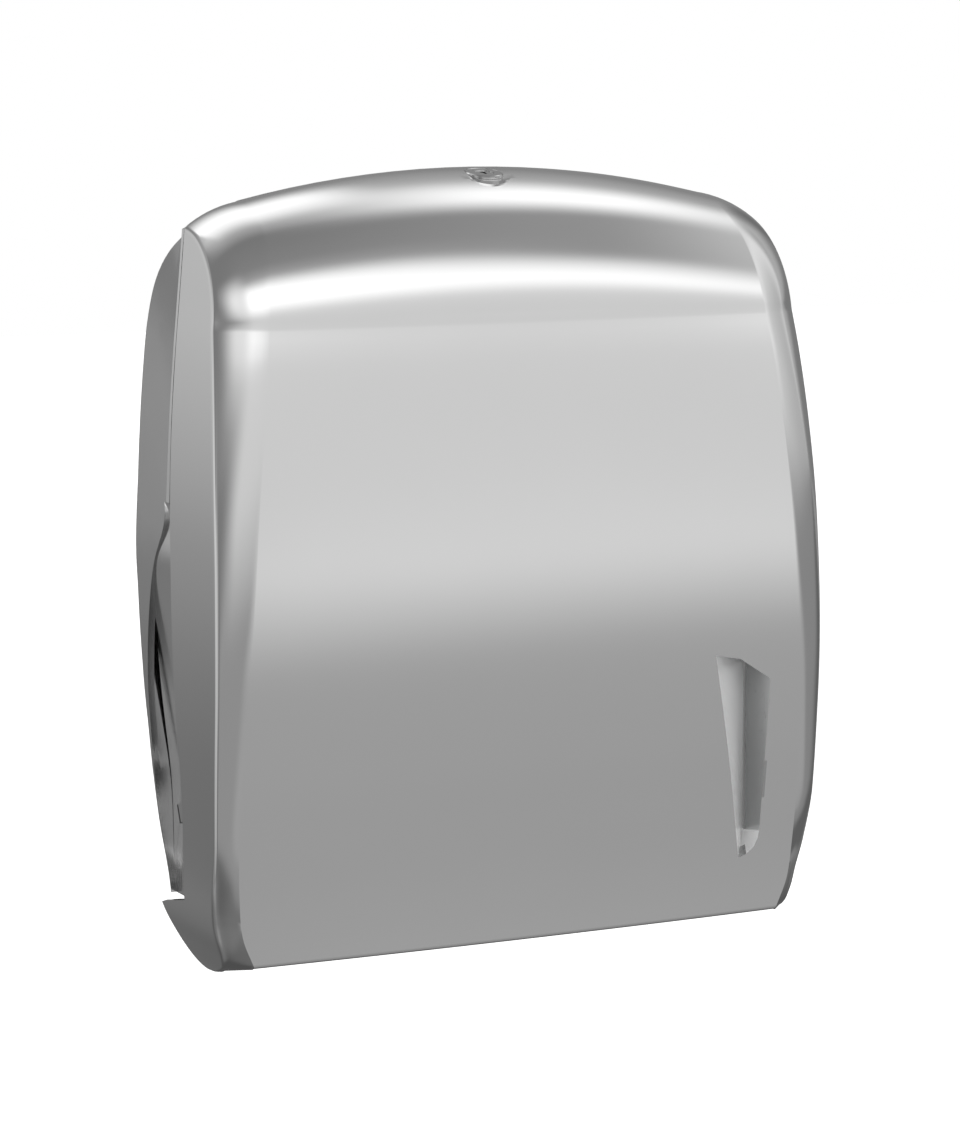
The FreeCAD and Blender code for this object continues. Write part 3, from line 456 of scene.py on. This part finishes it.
def flank(start, end, soft, steps, steep=0.0, cut=None):
    """Curved flank from the face to the side. Soft 1 makes it a quarter of an ellipse that meets the side.

    Steep is how much it leans back at its start. The cut is the point where the facet takes its start away.
    """
    (x0, w0), (x1, w1) = start, end
    length = math.hypot(x1 - x0, w0 - w1)
    nx, nw = (w0 - w1) / length, (x1 - x0) / length
    first = 0.0
    if cut:
        first = math.asin(min(LATEST_CUT, max(0.0, (cut[0] - x0) / (x1 - x0)))) * 2 / math.pi
    out = []
    for i in range(steps + 1):
        t = first + (1 - first) * i / steps
        bow = 4 * FLANK_BOW * length * t * (1 - t)
        plain_x = x0 + (x1 - x0) * t + nx * bow
        plain_w = w0 + (w1 - w0) * t + nw * bow
        turn = t * math.pi / 2
        round_x = x0 + (x1 - x0) * math.sin(turn)
        round_w = w1 + (w0 - w1) * math.cos(turn)
        round_w -= steep * (x1 - x0) * math.sin(turn) * math.cos(turn) ** 2
        out.append((plain_x + (round_x - plain_x) * soft, plain_w + (round_w - plain_w) * soft))
    if cut:
        ax, aw = out[0]
        stretch_x, stretch_w = (cut[0] - x1) / (ax - x1), (cut[1] - w1) / (aw - w1)
        out = [(x1 + (x - x1) * stretch_x, w1 + (w - w1) * stretch_w) for x, w in out]
    return out[1:]


def eased(before, corner, after, radius):
    """Points of a small round that replaces a corner. It stays within the lines to its neighbours."""
    before, corner, after = Vector(before), Vector(corner), Vector(after)
    back, on = before - corner, after - corner
    start = corner + back * min(1.0, radius / max(back.length, 0.001)) * 0.95
    end = corner + on * min(1.0, radius / max(on.length, 0.001)) * 0.95
    out = []
    for i in range(EDGE_STEPS + 1):
        t = i / EDGE_STEPS
        out.append(tuple(start * (1 - t) ** 2 + corner * 2 * t * (1 - t) + end * t ** 2))
    return out


def rear_edge(z):
    """y of the cover's rear edge at a height."""
    if z >= PARTING[0][0]:
        return between(PARTING, z)[0]
    if z > TAB[0][0]:
        rows = [r for r in TAB if r[0] <= z][-1:] + [r for r in TAB if r[0] > z][:1]
        (za, ya), (zb, yb) = rows
        return ya + (yb - ya) * (z - za) / (zb - za)
    return HINGE_Y + math.sqrt(CHEEK_R**2 - (z - HINGE_Z)**2)


# %% [markdown]
# Two functions put the parts together, one for each height and one for each angle of the round top. Below
# the foot of the face only the cheeks go on, so a section there starts at the facet's own edge.

# %% Whole sections


def facet_start(z):
    """Place (x, y) from which the lower corner's facet goes outwards, below the foot of the face."""
    if z < FACET_FOOT_Z:
        return between(CHEEK_EDGE, z)
    t = min(1.0, (FOOT_Z - z) / (FOOT_Z - FACET_FOOT_Z))
    corner, foot = between(FACE, FOOT_Z), between(CHEEK_EDGE, FACET_FOOT_Z)
    return corner[0] + (foot[0] - corner[0]) * t, corner[1] + (foot[1] - corner[1]) * t


def section_at_height(z):
    """Half section at a height, as (x, y, z) points from the middle to the rear edge."""
    x1, y1, slope, crown = between(FACE, z)
    side = between(BARREL, z)[0]
    rear = rear_edge(z)
    soft = smooth_step((SOFT_TOP - z) / SOFT_SPAN)
    lean = smooth_step((LEAN_TOP - z) / LEAN_SPAN)
    kx, ky = between(CHEEK_EDGE, z) if z < CHEEK_TOP else (x1, y1)
    if z >= FOOT_Z:
        pts = [(x, PIVOT_Y - w, z) for x, w in arc_half(x1, PIVOT_Y - y1, crown, FACE_STEPS)]
        gx, gy = x1, y1
    else:
        gx, gy = facet_start(z)
        pts = [(gx, gy, z)]
    for i in range(1, FACET_STEPS + 1):
        pts.append((gx + (kx - gx) * i / FACET_STEPS, gy + (ky - gy) * i / FACET_STEPS, z))
    turn_y = y1 + (slope + (FOOT_SLOPE - slope) * lean) * (side - x1)
    turn_y = max(turn_y, ky + CHEEK_SLOPE * lean * (side - kx))
    turn_y = min(turn_y, (ky + rear) / 2)
    start, end = (x1, PIVOT_Y - y1), (side, PIVOT_Y - turn_y)
    cut = (kx, PIVOT_Y - ky) if z < CHEEK_TOP else None
    curve = [(x, PIVOT_Y - w, z) for x, w in flank(start, end, soft, FLANK_STEPS, FOOT_STEEP * lean, cut)]
    straight = [(side, turn_y + (rear - turn_y) * i / SIDE_STEPS, z) for i in range(1, SIDE_STEPS + 1)]
    return pts + curve[:-1] + eased(curve[-2], curve[-1], straight[0], SIDE_EDGE_ROUND) + straight


def section_at_angle(degrees):
    """Half section of the round top. At 90 degrees it lies in the plane of the cover's rear edge."""
    x1, w1, slope, crown = between(ROUND, degrees)
    a = math.radians(degrees)
    w2 = w1
    for _ in range(30):
        side = between(BARREL, PIVOT_Z + w2 * math.sin(a))[0]
        w2 = w1 - slope * (side - x1)
    last = degrees >= 90
    rear = w2 if last else min(w2, REAR_GAP / math.cos(a))
    flat = arc_half(x1, w1, crown, FACE_STEPS) + [(x1, w1)] * FACET_STEPS
    curve = flank((x1, w1), (side, w2), 0.0, FLANK_STEPS)
    straight = []
    for i in range(1, SIDE_STEPS + 1):
        w = w2 + (rear - w2) * i / SIDE_STEPS
        straight.append((between(BARREL, PIVOT_Z + w * math.sin(a))[0], w))
    flat += curve[:-1] + eased(curve[-2], curve[-1], straight[0], SIDE_EDGE_ROUND) + straight
    if last:
        return [(x, PIVOT_Y - REAR_GAP, PIVOT_Z + w) for x, w in flat]
    return [(x, PIVOT_Y - w * math.cos(a), PIVOT_Z + w * math.sin(a)) for x, w in flat]


print("section at 150:", [tuple(round(c, 1) for c in p) for p in section_at_height(150)[::8]])

# %% [markdown]
# The sections are joined to a skin with the bridge operator, which fills the gap between two rows of edges
# with quads. They stand close together where the shape turns fast, at the foot and round the top, and
# further apart between. The cheeks below the foot are a second, shorter row of sections. The mirror adds
# the other half.

# %% Bridge the sections into a skin


def chain(bm, points):
    """Vertices joined one to the next by edges."""
    verts = [bm.verts.new(p) for p in points]
    return [bm.edges.new(two) for two in zip(verts, verts[1:])]


def bridged(bm, rows):
    """Skin over a row of sections that have the same number of points."""
    chains = [chain(bm, row) for row in rows]
    for near, far in zip(chains, chains[1:]):
        bmesh.ops.bridge_loops(bm, edges=near + far)


HEIGHTS = [FOOT_Z, 0, 1.2, 2.5, 4, 5.7, 7.8, 10, 12.2, 14.4, 15.6, 16.9, 18, 19.2, 20.1, 21, 22.5, 25, 28]
HEIGHTS += [31, 35, 39, 44, 50, 56, 62] + [68 + 6.1 * i for i in range(32)] + [260.5]
ANGLES = [0, 3] + [6 + 4.5 * i for i in range(18)] + [85.5, 87, 87.8, 88.3, 90]
CHEEK_HEIGHTS = [FOOT_Z, -2.7, -3.4, -4.2, -5, -5.8, -6.5, -7.0, -7.3, -7.45]

skin = bmesh.new()
rows = [section_at_height(z) for z in HEIGHTS] + [section_at_angle(a) for a in ANGLES]
bridged(skin, rows)
lower = [section_at_height(z) for z in CHEEK_HEIGHTS]
lower[0] = lower[0][FACE_STEPS:]
bridged(skin, lower)
bmesh.ops.mirror(skin, geom=skin.verts[:] + skin.edges[:] + skin.faces[:], axis="X", merge_dist=0.001)
bmesh.ops.remove_doubles(skin, verts=skin.verts, dist=0.004)
bmesh.ops.recalc_face_normals(skin, faces=skin.faces)
middle = min(skin.faces, key=lambda f: (f.calc_center_median() - Vector((0, -8, 150))).length)
if middle.normal.y > 0:
    bmesh.ops.reverse_faces(skin, faces=skin.faces)
print("skin faces:", len(skin.faces), "open edges:", sum(e.is_boundary for e in skin.edges))

# %% [markdown]
# The edge between flank and side is crisp but not sharp: a mould can't be cut to zero radius, and the small
# round catches a thin highlight. It is drawn in each section, because it fades out towards the foot. The
# foot of the face turns under by a few millimetres. It is made with an extrusion of the face's lowest edge
# and a bevel.

# %% Turn the foot of the face under
FOOT_REAR_Y, FOOT_ROUND = 6.5, 1.5
foot_side = between(FACE, FOOT_Z)[0] + 0.1


def in_foot(edge):
    """Tells if an edge is part of the open lower edge of the face."""
    return edge.is_boundary and all(
        abs(v.co.z - FOOT_Z) < 0.01 and abs(v.co.x) < foot_side for v in edge.verts)


foot = [e for e in skin.edges if in_foot(e)]
under = bmesh.ops.extrude_edge_only(skin, edges=foot)["geom"]
for v in [g for g in under if isinstance(g, bmesh.types.BMVert)]:
    v.co.y = FOOT_REAR_Y
for f in [g for g in under if isinstance(g, bmesh.types.BMFace)]:
    f.normal_update()
    if f.normal.z > 0:
        f.normal_flip()
bmesh.ops.bevel(skin, geom=foot, offset=FOOT_ROUND, segments=3, profile=0.5, affect="EDGES", material=-1)
print("foot edges:", len(foot), "faces now:", len(skin.faces))

# %% [markdown]
# A moulding has one wall thickness nearly everywhere, so the skin gets its wall from a Solidify modifier.
# The parts that stand inside it, such as the hinge bosses, the seat of the lock and the box of the window
# recess, are simple forms. They are joined to the wall and the holes are cut with Boolean modifiers, in the
# order of a mould maker: first all metal that is added, then all that is taken away.

# %% Helpers for the solid steps
ROD_STEPS = 48


def drawn_object(name, bm):
    """A drawn bmesh as a plain helper object, in drawing millimetres."""
    mesh = bpy.data.meshes.new(name)
    bm.to_mesh(mesh)
    bm.free()
    helper = bpy.data.objects.new(name, mesh)
    bpy.context.scene.collection.objects.link(helper)
    return helper


def rod(radius, start, end):
    """Solid round bar between two points, from a cone with equal ends."""
    a, b = Vector(start), Vector(end)
    bm = bmesh.new()
    bmesh.ops.create_cone(bm, cap_ends=True, segments=ROD_STEPS, radius1=radius, radius2=radius,
                          depth=(b - a).length)
    turn = (b - a).to_track_quat("Z", "Y").to_matrix().to_4x4()
    bmesh.ops.transform(bm, matrix=Matrix.Translation((a + b) / 2) @ turn, verts=bm.verts)
    return bm


def block(x0, x1, y0, y1, z0, z1):
    """Solid box between its limits, from a unit cube."""
    bm = bmesh.new()
    bmesh.ops.create_cube(bm, size=1.0)
    bmesh.ops.scale(bm, vec=(x1 - x0, y1 - y0, z1 - z0), verts=bm.verts)
    bmesh.ops.translate(bm, vec=((x0 + x1) / 2, (y0 + y1) / 2, (z0 + z1) / 2), verts=bm.verts)
    return bm


def carved(base, name, bm, operation):
    """Adds a Boolean modifier that joins a form to the base or takes it away. Returns the helper object."""
    helper = drawn_object(name, bm)
    step = base.modifiers.new(name, "BOOLEAN")
    step.operation = operation
    step.solver = "EXACT"
    step.object = helper
    return helper


def settled(base, helpers):
    """The base's mesh with its modifiers applied. The helpers are removed."""
    bpy.context.view_layer.update()
    ready = base.evaluated_get(bpy.context.evaluated_depsgraph_get())
    mesh = bpy.data.meshes.new_from_object(ready)
    for helper in [base] + helpers:
        bpy.data.objects.remove(helper)
    return mesh


print("helpers ready: rod, block, carved, settled")

# %% [markdown]
# The recess is a pocket low on the right of the face. Its left wall is a ramp that comes up to the face,
# and its right wall is steep and holds the window. The lower right corner is a large round. The form is a
# loft between a ring of corners in front of the face and a much narrower ring at the bottom. Both long
# walls are twisted, so they get extra points along their length and rings between the two, or they would
# show as a few flat triangles.

# %% The form of the recess
RECESS_FRONT_Y, RECESS_BOTTOM_Y = -16.0, 12.0
RECESS_CORNERS = (  # (x, z) in front of the face, then (x, z) at the bottom
    ((88.9, 39.7), (112.3, 33.6)), ((91.5, 10.6), (112.3, 32.9)), ((100.9, 14.3), (112.5, 32.7)),
    ((109.2, 20.9), (112.6, 32.7)), ((113.4, 29.6), (112.8, 32.8)), ((114.6, 37.0), (112.9, 33.4)),
    ((116.0, 100.5), (112.9, 108.2)), ((93.5, 114.5), (112.4, 109.6)), ((77.0, 117.5), (112.2, 110.0)))
GROW_FRONT_X, GROW_BOTTOM_X, GROW_Z = 101.0, 112.55, 62.0
LONG_SIDE, LONG_STEPS, RING_STEPS = 40.0, 8, 4


def mixed(a, b, t):
    """Point between two points."""
    return tuple(p + (q - p) * t for p, q in zip(a, b))


def grown(corner, middle_x, grow):
    """Corner of a ring, moved away from the ring's middle."""
    x, z = corner
    return x + math.copysign(grow, x - middle_x), z + math.copysign(grow, z - GROW_Z)


def pocket(grow, deeper):
    """Window recess as a solid between its two rings of corners, grown sideways and deepened."""
    corners = [(grown(front, GROW_FRONT_X, grow), grown(bottom, GROW_BOTTOM_X, grow))
               for front, bottom in RECESS_CORNERS]
    outline = []
    for (front, bottom), (next_front, next_bottom) in zip(corners, corners[1:] + corners[:1]):
        steps = LONG_STEPS if abs(next_front[1] - front[1]) > LONG_SIDE else 1
        for k in range(steps):
            outline.append((mixed(front, next_front, k / steps), mixed(bottom, next_bottom, k / steps)))
    bm = bmesh.new()
    rings = []
    for i in range(RING_STEPS + 1):
        y = RECESS_FRONT_Y + (RECESS_BOTTOM_Y + deeper - RECESS_FRONT_Y) * i / RING_STEPS
        places = [mixed(front, bottom, i / RING_STEPS) for front, bottom in outline]
        verts = [bm.verts.new((x, y, z)) for x, z in places]
        rings.append([bm.edges.new(two) for two in zip(verts, verts[1:] + verts[:1])])
        if i in (0, RING_STEPS):
            bm.faces.new(verts)
    for near, far in zip(rings, rings[1:]):
        bmesh.ops.bridge_loops(bm, edges=near + far)
    bmesh.ops.recalc_face_normals(bm, faces=bm.faces)
    return bm


trial = pocket(0.0, 0.0)
print("pocket faces:", len(trial.faces), "volume:", round(trial.calc_volume()), "cubic millimetres")
trial.free()

# %% [markdown]
# The hinge needs a boss with a blind socket in each cheek, and the lock a thick seat with a bore and a
# shallow sink for its head. The recess gets a liner of the wall's thickness. The liner is cut off behind
# the face first, so that it doesn't stand out of it. The order matters: the liner, bosses and seat are
# joined before anything is cut.

# %% Places of the bosses and holes
WALL = 2.4
LINER_CUT, LINER_CUT_NORMAL = (100, 2.3, 24), (0, -93, -7.9)
OPENING = (110, 119, 3.0, 9.4, 42.0, 95.0)  # its limits in x, y and z
BOSS = (8.0, 128.6, 137.0)  # radius, inner x, outer x
SOCKET = (4.25, 127.6, 134.4)
LOCK_Y, LOCK_Z, LOCK_TILT = 41.0, 321.6, math.radians(9)
SEAT = (11.5, 7.5, -1.6)  # radius, reach below the lock's middle, reach above it
LOCK_BORE = (6.55, 34, 5)
LOCK_SINK = (8.25, 1.5, 8)
lock_axis = Vector((0, -math.sin(LOCK_TILT), math.cos(LOCK_TILT)))
lock_mid = Vector((0, LOCK_Y, LOCK_Z))


def on_hinge(side, radius, inner_x, outer_x):
    """Round bar on the hinge's axis, on one side of the cover."""
    return rod(radius, (side * inner_x, HINGE_Y, HINGE_Z), (side * outer_x, HINGE_Y, HINGE_Z))


def on_lock(radius, below, above):
    """Round bar on the lock's axis, from below the lock's middle to above it."""
    return rod(radius, lock_mid - lock_axis * below, lock_mid + lock_axis * above)


print("lock axis", tuple(round(c, 3) for c in lock_axis))

# %% Wall, bosses and holes of the cover
base = drawn_object("cover_wall", skin)
wall = base.modifiers.new("wall", "SOLIDIFY")
wall.thickness = WALL
wall.offset = -1.0
wall.use_even_offset = False

liner = pocket(WALL, WALL)
bmesh.ops.bisect_plane(liner, geom=liner.verts[:] + liner.edges[:] + liner.faces[:], plane_co=LINER_CUT,
                       plane_no=LINER_CUT_NORMAL, clear_outer=True)
bmesh.ops.holes_fill(liner, edges=liner.edges, sides=12)
helpers = [carved(base, "liner", liner, "UNION")]
for side in (-1, 1):
    helpers.append(carved(base, "boss", on_hinge(side, *BOSS), "UNION"))
helpers.append(carved(base, "seat", on_lock(*SEAT), "UNION"))
helpers.append(carved(base, "pocket", pocket(0.0, 0.0), "DIFFERENCE"))
helpers.append(carved(base, "opening", block(*OPENING), "DIFFERENCE"))
for side in (-1, 1):
    helpers.append(carved(base, "socket", on_hinge(side, *SOCKET), "DIFFERENCE"))
helpers.append(carved(base, "lock_bore", on_lock(*LOCK_BORE), "DIFFERENCE"))
helpers.append(carved(base, "lock_sink", on_lock(*LOCK_SINK), "DIFFERENCE"))
cover_mesh = settled(base, helpers)
print("cover faces:", len(cover_mesh.polygons))

# %% [markdown]
# The walls of the recess are less polished in the mould than the large skin, so they are rougher. Their
# second finish also has a lighter grey and a lower metal share: painted light that brightens the recess
# against its shade. The upper part of the right wall gets the pane's darker smoked finish: painted shade.
# The faces are known by their place, behind the skin of the face and turned to the middle of the
# recess. An edge is marked sharp where the skin turns by more than 28 degrees, where two finishes meet, and
# along the lower crease.

# %% The recess and the sharp edges
RECESS_X, RECESS_Z, RECESS_END_Y, RECESS_DEPTH = (84, 118), (22, 117), 12.05, 22
RECESS_MID_X, RECESS_MID_Y, BEHIND_SKIN = 108, 6, 0.05
FACE_CROWN, FACE_HALF = 2.5, 131
FLAT_TO_FRONT = 0.94
SHADE_ABOVE_Z, TURNED_LEFT = 36, -0.5
SHARP_ANGLE = math.radians(28)
CREASE_TOP, CREASE_REAR_Y, CREASE_X, CREASE_NEAR = 60, 4, 120, 0.02
PLAIN, IN_RECESS, SHADED_WALL = 0, 1, 2
TO_DRAWING = TO_FRAME.inverted()


def finish_of(face):
    """Which of the cover's finishes a face has."""
    middle = face.calc_center_median()
    x, y, z = middle
    if not (RECESS_X[0] < x < RECESS_X[1] and RECESS_Z[0] < z < RECESS_Z[1] and y < RECESS_END_Y):
        return PLAIN
    behind = y - between(FACE, z)[1] + FACE_CROWN * (1 - (x / FACE_HALF) ** 2)
    if not BEHIND_SKIN < behind < RECESS_DEPTH or abs(face.normal.y) >= FLAT_TO_FRONT:
        return PLAIN
    if face.normal.dot(Vector((RECESS_MID_X, RECESS_MID_Y, z)) - middle) <= 0:
        return PLAIN
    # Painted shade: the upper part of the right wall gets the smoked finish. The rest of the recess gets the
    # finish with painted light.
    return SHADED_WALL if face.normal.x < TURNED_LEFT and z > SHADE_ABOVE_Z else IN_RECESS


def on_low_crease(place):
    """Tells if a place in the drawing lies on the lower part of the crease between face and flank."""
    x, y, z = abs(place.x), place.y, place.z
    if not (FOOT_Z - 0.1 < z < CREASE_TOP and y < CREASE_REAR_Y and x > CREASE_X):
        return False
    return (Vector((x, y)) - Vector(between(FACE, z)[:2])).length < CREASE_NEAR


print("finish numbers:", PLAIN, IN_RECESS, SHADED_WALL)

# %% The finished cover
cover_bm = bmesh.new()
cover_bm.from_mesh(cover_mesh)
cover_bm.normal_update()
for face in cover_bm.faces:
    face.smooth = True
    face.material_index = finish_of(face)
in_recess = sum(face.material_index != PLAIN for face in cover_bm.faces)
cover = placed("cover_moulding", cover_bm, "cover", satin_silver, "cover_plastic", "front_cover")
# The second finish is the painted light of the recess walls, and the third is the painted shade of the right
# wall.
cover.data.materials.append(recess_silver_painted_light)
cover.data.materials.append(smoke_and_wall_shade)
cover.data.set_sharp_from_angle(angle=SHARP_ANGLE)
finishes_at = {}
for polygon in cover.data.polygons:
    for edge_key in polygon.edge_keys:
        finishes_at.setdefault(edge_key, set()).add(polygon.material_index)
for edge in cover.data.edges:
    ends = [TO_DRAWING @ cover.data.vertices[i].co for i in edge.vertices]
    if len(finishes_at[edge.key]) > 1 or all(on_low_crease(end) for end in ends):
        edge.use_edge_sharp = True
print("faces in the recess:", in_recess)
print("cover triangles about", sum(len(p.vertices) - 2 for p in cover.data.polygons))
